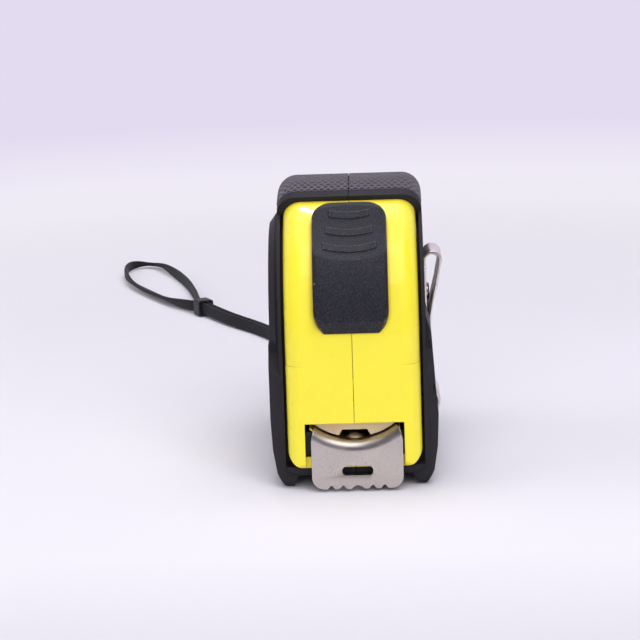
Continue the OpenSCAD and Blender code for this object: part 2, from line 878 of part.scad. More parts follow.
module wound_blade() {
    color("khaki") {
        difference() {
            rod(coil_r, -blade_w / 2, blade_w / 2, reel_y, reel_z);
            rod(drum_r + fit, -far, far, reel_y, reel_z);
        }
    }
}

// ---------------------------------------------------------------- blade and hook

// Section of the blade as (X, Z) points, from flat (0) to fully cupped (1)
function blade_section(cup) =
    let (n = 10, k = max(cup, 0.004) / cup_r,
         top = [for (i = [0:n]) let (s = blade_w * (i / n - 0.5), a = s * k * 180 / PI) [a, (1 / k)]])
    concat(
        [for (p = top) [(p[1] - blade_t / 2) * sin(p[0]), p[1] - (p[1] - blade_t / 2) * cos(p[0])]],
        [for (i = [n:-1:0]) let (p = top[i])
            [(p[1] + blade_t / 2) * sin(p[0]), p[1] - (p[1] + blade_t / 2) * cos(p[0])]]
    );

module blade_run() {
    rings = 12;
    y0 = reel_y;
    y1 = blade_end_back + fit;
    sections = [for (i = [0:rings]) let (t = i / rings, cup = t * t * (3 - 2 * t))
        [for (q = blade_section(cup)) [q[0], y0 + (y1 - y0) * t, blade_z + q[1]]]];
    m = len(sections[0]);
    color("khaki") {
        polyhedron(
            [for (s = sections) for (p = s) p],
            concat(
                [[for (k = [m - 1:-1:0]) k]],
                [[for (k = [0:m - 1]) rings * m + k]],
                [for (i = [0:rings - 1], k = [0:m - 1]) let (k2 = (k + 1) % m)
                    [i * m + k, i * m + k2, (i + 1) * m + k2]],
                [for (i = [0:rings - 1], k = [0:m - 1]) let (k2 = (k + 1) % m)
                    [i * m + k, (i + 1) * m + k2, (i + 1) * m + k]]
            )
        );
    }
}

module blade_end() {
    color("khaki") {
        difference() {
            cupped(cup_r - blade_t / 2, cup_r + blade_t / 2, bend_y, blade_end_back, cup_half);
            // slots in which the rivets travel
            for (y = rivet_ys) {
                upward(0, cup_z - 5) slot([0, y - hook_float], [0, y], rivet_shank + fit);
            }
        }
    }
}

// Notches of the hook's lower edge: [distance from the middle, half width]
hook_notches = [[3.82, 0.95], [6.85, 0.95]];
hook_notch_h = 0.95;

module hook_outline() {
    reach = (nail_slot_w - nail_slot_h) / 2;
    difference() {
        round_rect([-hook_w / 2, hook_z], [hook_w / 2, cup_z], 3.2);
        translate([-hook_shift, cup_z]) circle(bend_r + 0.5);
        slot([-reach, hook_z + 4.8], [reach, hook_z + 4.8], nail_slot_h / 2);
        // scalloped edge: two V notches on each side and a shallow arc in the middle
        for (s = [-1, 1], n = hook_notches) {
            translate([s * n[0], hook_z])
                polygon([[-n[1] - 0.3, -0.3], [-0.15, hook_notch_h], [0.15, hook_notch_h], [n[1] + 0.3, -0.3]]);
        }
        translate([0, hook_z - 0.85]) circle(1.8);
    }
}

// Quarter bend between the tang and the hook's plate, following the cup of the blade
module hook_bend_ring() {
    translate([0, 0, cup_z])
        rotate([90, 0, 0])
            rotate([0, 0, 270 - cup_half])
                rotate_extrude(angle = 2 * cup_half) {
                    intersection() {
                        translate([bend_r, -bend_y])
                            difference() {
                                circle(hook_bend + hook_t);
                                circle(hook_bend);
                            }
                        translate([bend_r - far, -bend_y]) square([far, far]);
                    }
                    translate([bend_r - bite, -hook_back]) square([0.8, hook_t]);
                }
}

module end_hook() {
    color("silver") {
        difference() {
            intersection() {
                union() {
                    // tang on the blade, the bend at its front and the plate that hangs from it
                    cupped(tang_top, tang_low, bend_y, tang_end, cup_half);
                    hook_bend_ring();
                    along(hook_front, hook_back) translate([hook_shift, 0]) hook_outline();
                }
                // shoulders, where the plate narrows to the tang
                along(-far, 0)
                    translate([hook_shift, blade_z])
                        polygon([
                            [-hook_w / 2, -far], [hook_w / 2, -far], [hook_w / 2, 1.2],
                            [hook_w / 2 - 0.3, 3], [hook_w / 2 - 0.9, 4.6], [0.9 - hook_w / 2, 4.6],
                            [0.3 - hook_w / 2, 3], [-hook_w / 2, 1.2]
                        ]);
            }
            for (y = rivet_ys) {
                translate([0, y, 0]) cylinder(r = rivet_shank + fit, h = cup_z - 5);
            }
        }
    }
}

module hook_rivets() {
    head_z = cup_z - tang_top;
    color("silver") {
        for (y = rivet_ys) {
            translate([0, y, 0]) {
                // shank and flared tail
                translate([0, 0, blade_z - 1]) cylinder(r = rivet_shank, h = head_z - blade_z + 1.5);
                translate([0, 0, blade_z - 0.9]) cylinder(r = rivet_tail, h = 0.6);
                // domed head
                translate([0, 0, head_z + rivet_lift]) intersection() {
                    translate([0, 0, rivet_head - rivet_r * rivet_r / rivet_head / 2 - rivet_head / 2])
                        sphere(r = rivet_r * rivet_r / rivet_head / 2 + rivet_head / 2);
                    cylinder(r = rivet_r, h = 2 * rivet_head);
                }
            }
        }
    }
}

// ---------------------------------------------------------------- lock

// Stands the children at an angle on the round: their Z points outwards and their Y up it
module on_round(a) {
    translate([0, 0, case_z]) rotate([90 - a, 0, 0]) children();
}

module lock_button() {
    mid = (lock_low + lock_high) / 2;
    reach = button_out * sin((lock_high - lock_low) / 2);
    soft = 1.2;
    side = lock_w / 2 + 0.1;
    color([0.18, 0.18, 0.2]) {
        difference() {
            intersection() {
                // curved cap with soft long edges
                around(lock_low - 2, lock_high + 2) {
                    translate([button_in, -side]) square([button_out - soft - button_in, 2 * side]);
                    translate([button_in, soft - side]) square([button_out - button_in, 2 * (side - soft)]);
                    for (s = [-1, 1]) translate([button_out - soft, s * (side - soft)]) circle(soft);
                }
                // rounded outline, seen square to the middle of the cap
                on_round(mid)
                    linear_extrude(height = far) {
                        round_rect([-lock_w / 2, -reach], [lock_w / 2, reach - 6], button_corner_low);
                        round_rect([-lock_w / 2, 6 - reach], [lock_w / 2, reach], button_corner_high);
                    }
            }
            // sloped lower end
            across(-far, far)
                polygon([
                    button_point(button_in, lock_low),
                    button_point(button_in, lock_low) + slope_rise * [slope_in, 1],
                    [-far, case_z + far],
                    [-far, 0],
                    button_point(button_in, lock_low) - slope_rise * [slope_in, 1]
                ]);
            // thumb dish with three low ribs left standing in it
            thumb_dish(dish_sink - rib_rise);
            difference() {
                thumb_dish(dish_sink);
                thumb_ribs();
            }
        }
        // stem through the slot of the case
        around(stem_low, stem_high)
            translate([slide_out + fit, -stem_w / 2]) square([button_in + 0.5 - slide_out, stem_w]);
    }
}

// A point of the button's side view, at a radius and an angle on the round
function button_point(r, a) = [-r * cos(a), case_z + r * sin(a)];

module thumb_dish(sink) {
    on_round(dish_angle) translate([0, 0, button_out + dish_r - sink]) sphere(r = dish_r);
}

// Curved ribs, each longer than the one above it
module thumb_ribs() {
    for (i = [0:2]) {
        on_round(rib_low + i * rib_pitch)
            intersection() {
                translate([0, rib_bow, 0])
                    difference() {
                        cylinder(r = rib_bow + rib_w / 2, h = button_out);
                        cylinder(r = rib_bow - rib_w / 2, h = far);
                    }
                translate([0, 0, far / 2]) cube([rib_len - i * rib_step, 8, far], center = true);
            }
    }
}

module lock_slide() {
    color([0.3, 0.3, 0.32]) {
        around(slide_low, slide_high)
            translate([slide_in, -slide_w / 2]) square([slide_out - slide_in, slide_w]);
        // arm down the front of the reel, with a web at its top and a foot that carries the pad
        around(pad_arc - pad_low, slide_low + 6)
            translate([arm_in, -arm_w / 2]) square([arm_out - arm_in, arm_w]);
        around(slide_low + 0.5, slide_low + 6)
            translate([arm_out - bite, -arm_w / 2]) square([slide_in - arm_out + 2 * bite, arm_w]);
        around(pad_arc - pad_low, pad_arc + 3 - pad_low)
            translate([arm_out - bite, -foot_w / 2]) square([pad_out - arm_out + bite, foot_w]);
    }
}

module brake_pad() {
    color([0.12, 0.12, 0.12]) {
        around(-pad_low, pad_arc - pad_low - 0.1)
            translate([pad_in, -pad_w / 2]) square([pad_out - pad_in, pad_w]);
    }
}

module detent_spring() {
    color("slategray") {
        around(20, 44)
            translate([slide_in - 0.45, -3]) square([0.4, 6]);
    }
}

case_left();
case_right();
grip_left();
grip_right();
case_screws();
axle_post();
mouth_bumper();
blade_guide();
belt_clip();
clip_screw();
strap_pin();
strap_loop();
wrist_strap();
strap_keeper();
reel_drum();
reel_cover();
reel_washers();
power_spring();
wound_blade();
blade_run();
blade_end();
end_hook();
hook_rivets();
lock_button();
lock_slide();
brake_pad();
detent_spring();
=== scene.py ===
# Looks of a pocket tape measure: glossy two-part case, rubber grip, thumb lock, sprung blade,
# belt clip and wrist lace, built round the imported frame.
import json
import math

import bmesh
import bpy
from bpy.props import FloatProperty, FloatVectorProperty, IntProperty, PointerProperty
from bpy.types import Operator, Panel, PropertyGroup
from mathutils import Matrix, Vector

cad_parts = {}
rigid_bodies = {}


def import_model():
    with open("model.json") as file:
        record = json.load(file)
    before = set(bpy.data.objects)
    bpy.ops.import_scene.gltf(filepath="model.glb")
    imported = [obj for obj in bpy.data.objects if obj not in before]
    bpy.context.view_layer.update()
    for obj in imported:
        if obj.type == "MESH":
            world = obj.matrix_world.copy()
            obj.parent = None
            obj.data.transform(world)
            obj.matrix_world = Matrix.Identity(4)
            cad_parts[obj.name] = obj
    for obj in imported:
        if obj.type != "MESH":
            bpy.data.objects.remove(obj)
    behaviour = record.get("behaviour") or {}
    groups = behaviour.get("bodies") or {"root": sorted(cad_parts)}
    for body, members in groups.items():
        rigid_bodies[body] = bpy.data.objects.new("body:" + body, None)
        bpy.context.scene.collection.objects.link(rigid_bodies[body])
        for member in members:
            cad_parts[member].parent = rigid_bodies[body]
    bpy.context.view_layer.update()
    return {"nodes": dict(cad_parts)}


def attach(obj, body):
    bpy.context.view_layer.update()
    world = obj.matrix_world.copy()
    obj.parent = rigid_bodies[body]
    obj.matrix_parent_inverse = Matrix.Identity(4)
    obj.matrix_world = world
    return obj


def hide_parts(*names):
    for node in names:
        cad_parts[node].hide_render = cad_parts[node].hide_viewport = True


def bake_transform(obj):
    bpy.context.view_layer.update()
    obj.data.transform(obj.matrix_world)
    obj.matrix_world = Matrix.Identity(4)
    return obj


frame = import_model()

bl_info = {
    "name": "Pocket tape measure",
    "version": (1, 0, 0),
    "blender": (4, 5, 0),
    "location": "View3D > Sidebar > Tape",
    "description": "Makes the pieces, finishes and stage of a pocket tape measure",
    "category": "Object",
}

MM = 0.001


# ------------------------------------------------------------------ settings

def shade(name, text, rgb):
    return FloatVectorProperty(name=name, description=text, default=rgb, size=3,
                               subtype="COLOR", min=0, max=1)


def length(name, text, metres):
    return FloatProperty(name=name, description=text, default=metres, unit="LENGTH",
                         precision=5)


class StageSettings(PropertyGroup):
    floor_colour: shade("Floor", "Colour of the floor and backdrop", (0.87, 0.845, 0.93))
    far_colour: shade("Distance", "Colour that the floor fades to in the distance",
                      (0.77, 0.71, 0.87))
    front_strength: FloatProperty(name="Front", description="Power of the large soft lamp in front",
                                  default=8.6, unit="POWER")
    left_strength: FloatProperty(name="Left", description="Power of the soft lamp at the left",
                                 default=2.6, unit="POWER")
    top_strength: FloatProperty(name="Top", description="Power of the lamp overhead",
                                default=6.4, unit="POWER")
    soft_strength: FloatProperty(name="Soft",
                                 description="Power of the soft lamp in front and above",
                                 default=3.2, unit="POWER")
    strip_strength: FloatProperty(name="Strip",
                                  description="Power of the narrow lamp of the highlight",
                                  default=0.36, unit="POWER")
    sky_strength: FloatProperty(name="Sky", description="Strength of the even light",
                                default=0.31)


class CaseSettings(PropertyGroup):
    colour: shade("Case", "Colour of the glossy plastic", (0.98, 0.85, 0.05))
    # Painted shade: orange-brown that the case's colour is blended to in gaps and grooves, where
    # shade falls.
    painted_gap_shade: shade("Groove", "Colour of the plastic where it is shaded in gaps", (0.7, 0.25, 0.005))
    roughness: FloatProperty(name="Roughness", description="Gloss of the case",
                             default=0.3, min=0, max=1)


class GripSettings(PropertyGroup):
    colour: shade("Rubber", "Colour of the rubber", (0.022, 0.021, 0.0255))
    cap_colour: shade("Cap", "Colour of the worn rubber on the cap", (0.13, 0.117, 0.14))
    cell: length("Cell", "Pitch of the dimples on the cap", 1.75 * MM)
    rim: length("Rim", "Height of the rims between the dimples", 0.45 * MM)


class LockSettings(PropertyGroup):
    colour: shade("Button", "Colour of the grained plastic", (0.012, 0.012, 0.017))
    voxel: length("Voxel", "Step at which the button's edges are rounded", 0.17 * MM)


class MetalSettings(PropertyGroup):
    nickel: shade("Nickel", "Colour of the plated steel", (0.63, 0.575, 0.545))
    edge: length("Edge", "Rounding of the pressed edges", 0.12 * MM)


class BladeSettings(PropertyGroup):
    lacquer: shade("Blade", "Colour of the blade's lacquer", (0.90, 0.70, 0.06))
    ink: shade("Ink", "Colour of the scale", (0.02, 0.02, 0.022))
    rings: IntProperty(name="Rings", description="Sections along the blade that pulls out",
                       default=260, min=40)


class LaceSettings(PropertyGroup):
    width: length("Width", "Width of the lace", 4 * MM)
    thickness: length("Thickness", "Thickness of the lace", 1.3 * MM)
    step: length("Step", "Distance between sections along the lace", 0.45 * MM)
    colour: shade("Lace", "Colour of the yarn", (0.011, 0.0105, 0.013))


# ------------------------------------------------------------------ scene helpers

def deselect():
    if bpy.context.object and bpy.context.object.mode != "OBJECT":
        bpy.ops.object.mode_set(mode="OBJECT")
    bpy.ops.object.select_all(action="DESELECT")


def pick(obj):
    deselect()
    obj.select_set(True)
    bpy.context.view_layer.objects.active = obj
    return obj


def settle(obj):
    """Puts the object's place into its mesh."""
    pick(obj)
    bpy.ops.object.transform_apply(location=True, rotation=True, scale=True)
    return obj


def new_mesh(name, verts, faces):
    mesh = bpy.data.meshes.new(name)
    mesh.from_pydata(verts, [], faces)
    mesh.validate()
    obj = bpy.data.objects.new(name, mesh)
    bpy.context.scene.collection.objects.link(obj)
    return obj


def use_modifier(obj, kind, **values):
    pick(obj)
    mod = obj.modifiers.new(kind.title(), kind)
    for key, value in values.items():
        setattr(mod, key, value)
    bpy.ops.object.modifier_apply(modifier=mod.name)


def smooth(obj, degrees=35):
    pick(obj)
    bpy.ops.object.shade_smooth_by_angle(angle=math.radians(degrees))
    return obj


def wear(obj, material):
    """Gives the whole piece one finish."""
    obj.data.materials.clear()
    obj.data.materials.append(material)
    return obj


def seat(obj, body, material=None):
    if material:
        wear(obj, material)
    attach(obj, body)
    return obj


def node_copy(node, name, degrees=0.6):
    """A merged copy of a CAD node, with its flat faces made whole."""
    source = frame["nodes"][node]
    obj = bpy.data.objects.new(name, source.data.copy())
    bpy.context.scene.collection.objects.link(obj)
    pick(obj)
    bpy.ops.object.mode_set(mode="EDIT")
    bpy.ops.mesh.select_all(action="SELECT")
    bpy.ops.mesh.customdata_custom_splitnormals_clear()
    bpy.ops.mesh.remove_doubles(threshold=0.002 * MM)
    bpy.ops.mesh.dissolve_limited(angle_limit=math.radians(degrees))
    bpy.ops.object.mode_set(mode="OBJECT")
    return obj


# ------------------------------------------------------------------ finish helpers

class Finish:
    """A material under construction: named nodes joined by short calls."""

    def __init__(self, name, **shader):
        self.material = bpy.data.materials.new(name)
        self.material.use_nodes = True
        self.tree = self.material.node_tree
        self.shader = self.tree.nodes["Principled BSDF"]
        for key, value in shader.items():
            socket = self.shader.inputs[key.replace("_", " ")]
            socket.default_value = (*value, 1) if socket.type == "RGBA" else value

    def node(self, kind, inputs=(), **values):
        node = self.tree.nodes.new("ShaderNode" + kind)
        for key, value in values.items():
            setattr(node, key, value)
        for key, value in dict(inputs).items():
            if isinstance(value, bpy.types.NodeSocket):
                self.tree.links.new(value, node.inputs[key])
            else:
                node.inputs[key].default_value = value
        return node

    def place(self):
        return self.node("TexCoord").outputs["Object"]

    def uv(self):
        return self.node("UVMap", uv_map="UVMap").outputs["UV"]

    def noise(self, scale, detail=2, rough=0.5, vector=None):
        return self.node("TexNoise", {"Vector": vector or self.place(), "Scale": scale,
                                      "Detail": detail, "Roughness": rough}).outputs["Fac"]

    def cells(self, scale, vector=None, feature="F1"):
        return self.node("TexVoronoi", {"Vector": vector or self.place(), "Scale": scale},
                         feature=feature).outputs["Distance"]

    def math(self, operation, a, b=0.0, c=0.0):
        node = self.tree.nodes.new("ShaderNodeMath")
        node.operation = operation
        for socket, value in zip(node.inputs, (a, b, c)):
            if isinstance(value, bpy.types.NodeSocket):
                self.tree.links.new(value, socket)
            else:
                socket.default_value = value
        return node.outputs[0]

    def remap(self, value, low, high, out_low=0.0, out_high=1.0):
        return self.node("MapRange", {"Value": value, "From Min": low, "From Max": high,
                                      "To Min": out_low, "To Max": out_high}).outputs["Result"]

    def blend(self, factor, a, b):
        node = self.tree.nodes.new("ShaderNodeMix")
        node.data_type = "RGBA"
        for socket, value in ((node.inputs[0], factor), (node.inputs[6], a), (node.inputs[7], b)):
            if isinstance(value, bpy.types.NodeSocket):
                self.tree.links.new(value, socket)
            else:
                socket.default_value = (*value, 1) if hasattr(value, "__len__") else value
        return node.outputs[2]

    def colour(self, socket):
        self.tree.links.new(socket, self.shader.inputs["Base Color"])

    def roughness(self, socket):
        self.tree.links.new(socket, self.shader.inputs["Roughness"])

    def bump(self, height, distance, strength=1.0, edge=0.0):
        """Relief of a height in metres, over edges that look rounded by a radius."""
        inputs = {"Height": height, "Distance": distance, "Strength": strength}
        if edge:
            inputs["Normal"] = self.node("Bevel", {"Radius": edge}, samples=6).outputs["Normal"]
        node = self.node("Bump", inputs)
        self.tree.links.new(node.outputs["Normal"], self.shader.inputs["Normal"])


def darker(rgb, factor):
    return tuple(c * factor for c in rgb)


# ------------------------------------------------------------------ stage

CAMERA_AT = (8 * MM, -655.5 * MM, 183.5 * MM)
CAMERA_DOWN = 0.22          # radians
CAMERA_LEFT = 0.0257
CAMERA_ROLL = -0.0339
LENS = 140.7
# Stretches of the stage, in metres: ahead is measured along y, the others from the origin
# Painted shade: the first stretch below darkens the cloth towards the camera, standing in for light
# falling off at the front.
SHADE_PAINTED_AHEAD = (-0.15, -0.09)
GLOW_FROM_TO = (0.2, 0.46)
FADE_FROM_TO = (0.4, 0.64)
MIRRORED_FROM_TO = (0.5, 1.0)
MIDDLE_TONE = (0.90, 0.87, 0.945)
LAMPS_AIM_AT = (0, 0, 0.03)


class TAPE_OT_stage(Operator):
    """Places the camera, the floor with its backdrop, and the lamps"""
    bl_idname = "tape.stage"
    bl_label = "Stage"

    def execute(self, context):
        settings = context.scene.tape_stage
        self.camera(context)
        self.floor(settings)
        self.lamps(settings)
        self.sky(context, settings)
        return {"FINISHED"}

    def camera(self, context):
        data = bpy.data.cameras.new("Camera")
        data.lens = LENS
        data.sensor_width = 36
        data.clip_start = 0.01
        camera = bpy.data.objects.new("Camera", data)
        context.scene.collection.objects.link(camera)
        turn = (Matrix.Rotation(CAMERA_LEFT, 4, "Z")
                @ Matrix.Rotation(math.pi / 2 - CAMERA_DOWN, 4, "X")
                @ Matrix.Rotation(CAMERA_ROLL, 4, "Z"))
        camera.matrix_world = Matrix.Translation(CAMERA_AT) @ turn
        context.scene.camera = camera

    def floor(self, settings):
        deselect()
        bpy.ops.mesh.primitive_plane_add(size=1, location=(0, 0.6, 0))
        floor = bpy.context.object
        floor.name = "floor"
        floor.scale = (8, 6, 1)
        settle(floor)
        bpy.ops.object.mode_set(mode="EDIT")
        mesh = bmesh.from_edit_mesh(floor.data)
        for edge in mesh.edges:
            edge.select = all(v.co.y > 3 for v in edge.verts)
        bmesh.update_edit_mesh(floor.data)
        bpy.ops.mesh.extrude_region_move(TRANSFORM_OT_translate={"value": (0, 0.6, 3.5)})
        bpy.ops.object.mode_set(mode="OBJECT")
        use_modifier(floor, "BEVEL", width=0.6, segments=12, limit_method="ANGLE")
        smooth(floor, 60)
        wear(floor, self.cloth(settings))

    def cloth(self, settings):
        """Pale cloth that takes the shadow near the object and fades to an even tone far off."""
        near = tuple(settings.floor_colour)
        finish = Finish("Stage cloth", Base_Color=near, Roughness=0.9)
        finish.shader.inputs["Specular IOR Level"].default_value = 0.1
        where = finish.place()
        ahead = finish.node("SeparateXYZ", {"Vector": where}).outputs[1]
        distance = finish.node("VectorMath", {0: where}, operation="LENGTH").outputs["Value"]
        # Painted shade: the cloth's colour darkens towards the camera, standing in for light falling
        # off at the front.
        finish.colour(finish.blend(finish.remap(ahead, *SHADE_PAINTED_AHEAD), darker(near, 0.86), near))
        weave = finish.noise(2500, 2, 0.6, where)
        finish.bump(weave, 0.1 * MM, 0.25)
        tone = finish.blend(finish.remap(distance, *FADE_FROM_TO), MIDDLE_TONE,
                            tuple(settings.far_colour))
        glow = finish.node("Emission", {"Color": tone, "Strength": 1.0}).outputs[0]
        path = finish.node("LightPath").outputs
        seen = finish.math("MULTIPLY", path["Is Camera Ray"],
                           finish.remap(distance, *GLOW_FROM_TO))
        mirrored = finish.math("MULTIPLY", path["Is Glossy Ray"],
                               finish.remap(ahead, *MIRRORED_FROM_TO))
        share = finish.math("MAXIMUM", seen, mirrored)
        mix = finish.node("MixShader", {0: share, 1: finish.shader.outputs[0], 2: glow})
        out = finish.tree.nodes["Material Output"]
        finish.tree.links.new(mix.outputs[0], out.inputs["Surface"])
        return finish.material

    def lamps(self, settings):
        lamps = (
            ("Front", (0.15, -1.0, 0.6), (1.4, 1.0), settings.front_strength, False),
            ("Left", (-0.9, 0.0, 0.55), (0.8, 0.8), settings.left_strength, False),
            ("Top", (0.05, 0.1, 1.1), (1.1, 1.1), settings.top_strength, True),
            ("Soft", (0.22, -0.55, 1.0), (0.7, 0.7), settings.soft_strength, True),
            ("Strip", (-0.0361, 0.326, 0.896), (0.0074, 0.154), settings.strip_strength, True),
        )
        for name, at, size, power, mirrored in lamps:
            data = bpy.data.lights.new(name, "AREA")
            data.shape = "RECTANGLE"
            data.size, data.size_y = size
            data.energy = power
            lamp = bpy.data.objects.new(name, data)
            bpy.context.scene.collection.objects.link(lamp)
            lamp.location = at
            lamp.visible_glossy = mirrored
            aim = Vector(LAMPS_AIM_AT) - Vector(at)
            lamp.rotation_euler = aim.to_track_quat("-Z", "Y").to_euler()

    def sky(self, context, settings):
        world = bpy.data.worlds.new("Sky")
        world.use_nodes = True
        tree = world.node_tree
        back = tree.nodes["Background"]
        back.inputs["Color"].default_value = (0.95, 0.94, 1.0, 1)
        back.inputs["Strength"].default_value = settings.sky_strength
        seen = tree.nodes.new("ShaderNodeBackground")
        seen.inputs["Color"].default_value = (*settings.far_colour, 1)
        mix = tree.nodes.new("ShaderNodeMixShader")
        path = tree.nodes.new("ShaderNodeLightPath")
        tree.links.new(path.outputs["Is Camera Ray"], mix.inputs[0])
        tree.links.new(back.outputs[0], mix.inputs[1])
        tree.links.new(seen.outputs[0], mix.inputs[2])
        tree.links.new(mix.outputs[0], tree.nodes["World Output"].inputs["Surface"])
        context.scene.world = world
        context.scene.view_settings.view_transform = "Standard"


# ------------------------------------------------------------------ wrist lace

PIN_Y = 33.3
# Section of the lace: ribs of yarn across it, and how square its edges are
LACE_RIBS = 7
LACE_RIB_MEAN = 0.93
LACE_RIB_DEPTH = 0.07
LACE_STEPS = 28
LACE_SQUARENESS = 7
# Middle line of the lace in millimetres: x, y behind the strap pin, z and roll in degrees
LACE_ROUTE = (
    (-10.3, 2.6, 9.6, 0), (-10.3, 9, 9, 0), (-10.2, 16, 7.4, 25), (-10, 25, 4.8, 60),
    (-10.1, 36.6, 3, 90), (-12.8, 54.5, 2.1, 90), (-17.1, 73.5, 2.1, 90), (-23.6, 92.4, 2.1, 90),
    (-32.7, 110.3, 2.1, 90), (-43.5, 126.2, 2.4, 90), (-53.8, 143.8, 2.8, 90),
    (-58.4, 150, 2.4, 105), (-65, 160, 1.8, 140), (-71.7, 172.5, 1.6, 156), (-77, 183, 1.6, 156),
    (-81, 192, 1.8, 140), (-84, 201.5, 2.1, 110), (-85.8, 211, 2.1, 90), (-85.8, 220, 2.1, 75),
    (-84, 226, 1.8, 50), (-80.3, 228.8, 1.6, 20), (-76.8, 227.8, 1.5, 13), (-73.8, 223.8, 1.7, 30),
    (-70.2, 214.5, 2.1, 65), (-65.8, 202.5, 2.1, 88), (-61.3, 187, 2.1, 90), (-57.6, 169, 2.1, 90),
    (-55.1, 153, 2.4, 90), (-52.2, 144.6, 2.8, 90), (-42.1, 127.2, 2.4, 90), (-31.3, 111.1, 2.1, 90),
    (-22, 93, 2.1, 90), (-15.5, 73.9, 2.1, 90), (-11.2, 54.9, 2.1, 90), (-8.5, 36.8, 3, 90),
    (-7, 25, 4.8, 60), (-5.9, 16, 7.4, 25), (-5.7, 9, 9, 0), (-5.7, 2.6, 9.6, 0),
)


def lace_points():
    return [(x * MM, (y + PIN_Y) * MM, z * MM, math.radians(roll)) for x, y, z, roll in LACE_ROUTE]


def along(points, step):
    """Points about a step apart on the smooth curve through these, each with its roll."""
    line = []
    last = len(points) - 1
    for i in range(last):
        a, b, c, d = (points[max(0, min(last, k))] for k in (i - 1, i, i + 1, i + 2))
        steps = max(2, round(math.dist(b[:3], c[:3]) / step))
        for k in range(steps):
            t = k / steps
            line.append(tuple(
                0.5 * (2 * q + (r - p) * t + (2 * p - 5 * q + 4 * r - s) * t * t
                       + (3 * q - p - 3 * r + s) * t ** 3)
                for p, q, r, s in zip(a, b, c, d)))
    line.append(points[last])
    return line


class TAPE_OT_lace(Operator):
    """Weaves the wrist lace, with its keeper and the loop on the strap pin"""
    bl_idname = "tape.lace"
    bl_label = "Wrist lace"

    def execute(self, context):
        settings = context.scene.tape_lace
        yarn = self.yarn(settings)
        line = along(lace_points(), settings.step)
        lace = self.ribbon(settings, line)
        seat(lace, "case", yarn)
        keeper = frame["nodes"]["strap_keeper"]
        wear(keeper, moulded_black("Keeper plastic", 0.5, (0.012, 0.012, 0.014)))
        wear(frame["nodes"]["strap_loop"], yarn)
        wear(frame["nodes"]["strap_pin"], steel("Pin steel", (0.5, 0.5, 0.5), 0.3))
        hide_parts("wrist_strap")
        return {"FINISHED"}

    def ribbon(self, settings, line):
        """A flat ribbon with rounded edges and ribs of yarn along it."""
        half = settings.width / 2
        thick = settings.thickness / 2
        outline = []
        for k in range(LACE_STEPS + 1):
            u = k / LACE_STEPS * 2 - 1
            body = thick * (1 - abs(u) ** LACE_SQUARENESS) ** 0.5
            rib = LACE_RIB_MEAN + LACE_RIB_DEPTH * math.cos(u * LACE_RIBS * math.pi)
            outline.append((u, body * rib))
        ring = [(u * half, h) for u, h in outline] + [(u * half, -h) for u, h in outline[-2:0:-1]]
        verts, faces, uvs = [], [], []
        count = len(ring)
        travelled = 0
        for i, point in enumerate(line):
            here = Vector(point[:3])
            before = Vector(line[max(i - 1, 0)][:3])
            after = Vector(line[min(i + 1, len(line) - 1)][:3])
            travelled += (here - before).length
            ahead = (after - before).normalized()
            side = ahead.cross(Vector((0, 0, 1))).normalized()
            top = side.cross(ahead)
            c, s = math.cos(point[3]), math.sin(point[3])
            for k, (u, h) in enumerate(ring):
                verts.append(here + side * (u * c - h * s) + top * (u * s + h * c))
                uvs.append((k / count, travelled))
        for i in range(len(line) - 1):
            for k in range(count):
                j = (k + 1) % count
                faces.append((i * count + j, i * count + k,
                              (i + 1) * count + k, (i + 1) * count + j))
        faces.append(tuple(range(count)))
        faces.append(tuple(reversed(range((len(line) - 1) * count, len(line) * count))))
        lace = new_mesh("wrist_lace", verts, faces)
        layer = lace.data.uv_layers.new(name="UVMap")
        for loop in lace.data.loops:
            layer.data[loop.index].uv = uvs[loop.vertex_index]
        pick(lace)
        bpy.ops.object.mode_set(mode="EDIT")
        bpy.ops.mesh.select_all(action="SELECT")
        bpy.ops.mesh.normals_make_consistent(inside=False)
        bpy.ops.object.mode_set(mode="OBJECT")
        return smooth(lace, 50)

    def yarn(self, settings):
        base = tuple(settings.colour)
        finish = Finish("Lace yarn", Roughness=0.75)
        finish.shader.inputs["Specular IOR Level"].default_value = 0.25
        finish.shader.inputs["Sheen Weight"].default_value = 0.12
        finish.shader.inputs["Sheen Roughness"].default_value = 0.4
        where = finish.place()
        strand = finish.node("TexWave", {"Vector": where, "Scale": 900.0, "Distortion": 1.5,
                                         "Detail": 2.0, "Detail Scale": 1.5},
                             bands_direction="DIAGONAL").outputs["Fac"]
        fuzz = finish.noise(2600, 3, 0.6, where)
        height = finish.math("ADD", finish.math("MULTIPLY", strand, 0.6),
                             finish.math("MULTIPLY", fuzz, 0.4))
        finish.colour(finish.blend(height, darker(base, 0.6), darker(base, 1.7)))
        finish.bump(height, 0.06 * MM, 0.7)
        return finish.material


# ------------------------------------------------------------------ shared finishes

def moulded_black(name, roughness, colour=(0.03, 0.03, 0.034), grain=0.02 * MM):
    finish = Finish(name, Roughness=roughness)
    where = finish.place()
    fine = finish.noise(3200, 3, 0.6, where)
    cloud = finish.noise(160, 2, 0.5, where)
    finish.colour(finish.blend(cloud, darker(colour, 0.85), darker(colour, 1.2)))
    finish.roughness(finish.remap(cloud, 0.3, 0.7, roughness - 0.05, roughness + 0.06))
    finish.bump(fine, grain, 0.6)
    return finish.material


